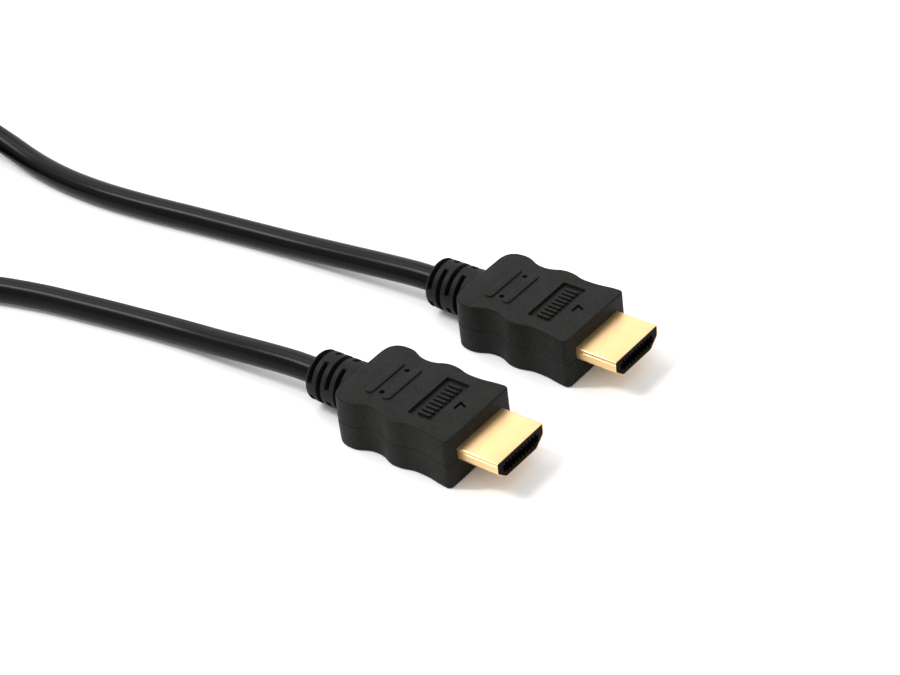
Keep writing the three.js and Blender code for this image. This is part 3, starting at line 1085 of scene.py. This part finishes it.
def make_tie():
    middle_x = (tie_low.x + tie_high.x) / 2
    middle_y = (tie_low.y + tie_high.y) / 2
    middle_z = (tie_low.z + tie_high.z) / 2
    width = tie_high.x - tie_low.x
    height = tie_high.z - tie_low.z
    half = (tie_high.y - tie_low.y) / 2
    outside = rounded_rectangle(width, height, TIE_CORNER, 10)
    inner = half - TIE_EDGE
    path = [(-half, TIE_EDGE), (-inner, 0.0), (inner, 0.0), (half, TIE_EDGE)]
    path += [(half, TIE_THICKNESS - TIE_EDGE), (inner, TIE_THICKNESS)]
    path += [(-inner, TIE_THICKNESS), (-half, TIE_THICKNESS - TIE_EDGE)]
    rings = []
    for y, distance in path:
        rings.append([(middle_x + p.x, middle_y + y, middle_z + p.y) for p in inset(outside, distance)])
    made = loft("coil_tie_looks", rings, closed=True)
    made.data.transform(Matrix.Scale(MM, 4))
    made.data.shade_smooth()
    made.data.set_sharp_from_angle(angle=SMOOTH_ANGLE)
    return made


tie = make_tie()
tie.data.materials.append(TIE_PLASTIC)
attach(tie, "root")
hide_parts("coil_tie")
print("tie faces:", len(tie.data.polygons))

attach(cable, "root")
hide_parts("cable_a", "cable_coil", "cable_b")

# %% [markdown]
# The photograph's ground is clean white paper with faint shadows towards the viewer and to the right. So a
# wide key light stands behind and to the left, in an even white room, and the exposure is lifted until the
# paper just burns out. A narrow strip further round to the front draws the thin highlight along the cable:
# a round cable shows the light's width as the highlight's. The gold shows what it mirrors: a pale backdrop
# on its top, and the black grip close behind it.

# %% Floor and lights
FLOOR_SIZE = 6.0
FLOOR_DROP = 0.00002
ROOM_STRENGTH = 0.74
EXPOSURE = 0.3
LIGHTS = (
    ("backdrop", (-0.75, 0.86, 0.8), (1.5, 1.0), 0.7),
    ("key", (-0.6, 0.1, 0.95), (0.5, 0.5), 2.6),
    ("strip", (-0.6, -0.38, 0.95), (0.13, 0.5), 30),
)


def make_floor():
    half = FLOOR_SIZE / 2
    corners = [(x, y, -FLOOR_DROP) for x, y in ((-half, -half), (half, -half), (half, half), (-half, half))]
    floor = add_mesh("floor", corners, [(0, 1, 2, 3)])
    material, nodes, links, shader, place = new_finish("paper")
    cloud = add_noise(nodes, links, place, 30)
    colour = add_ramp(nodes, links, cloud, (0.93, 0.93, 0.925), (0.95, 0.95, 0.945))
    links.new(colour, shader.inputs["Base Color"])
    shader.inputs["Roughness"].default_value = 0.9
    shader.inputs["Specular IOR Level"].default_value = 0.1
    floor.data.materials.append(material)
    floor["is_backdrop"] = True


def make_light(name, place, size, radiance):
    """A soft rectangular panel that faces the plugs, as bright as its radiance from any distance."""
    data = bpy.data.lights.new(name, "AREA")
    data.shape = "RECTANGLE"
    data.size, data.size_y = size
    data.energy = radiance * math.pi * size[0] * size[1]
    light = bpy.data.objects.new(name, data)
    light.location = place
    light.rotation_euler = (-Vector(place)).to_track_quat("-Z", "Y").to_euler()
    bpy.context.collection.objects.link(light)


def make_world():
    world = bpy.data.worlds.new("studio")
    world.use_nodes = True
    background = world.node_tree.nodes["Background"]
    background.inputs["Color"].default_value = (1, 1, 1, 1)
    background.inputs["Strength"].default_value = ROOM_STRENGTH
    bpy.context.scene.world = world


make_floor()
for name, place, size, radiance in LIGHTS:
    make_light(name, place, size, radiance)
    print(name, "light with a radiance of", radiance)
make_world()
bpy.context.scene.view_settings.view_transform = "Standard"
bpy.context.scene.view_settings.exposure = EXPOSURE

# %% [markdown]
# At the end the dressed part's box is set beside the imported model's. The looks are meant to stay inside
# it, so a low corner should move up or stay, and a high corner down or stay.

# %% Measure and finish
visual_box = [list(corner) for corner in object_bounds()]
for side, cad, visual in zip(("low", "high"), cad_box, visual_box):
    print(side, "corner moved by, mm:", [round((v - c) / MM, 3) for c, v in zip(cad, visual)])
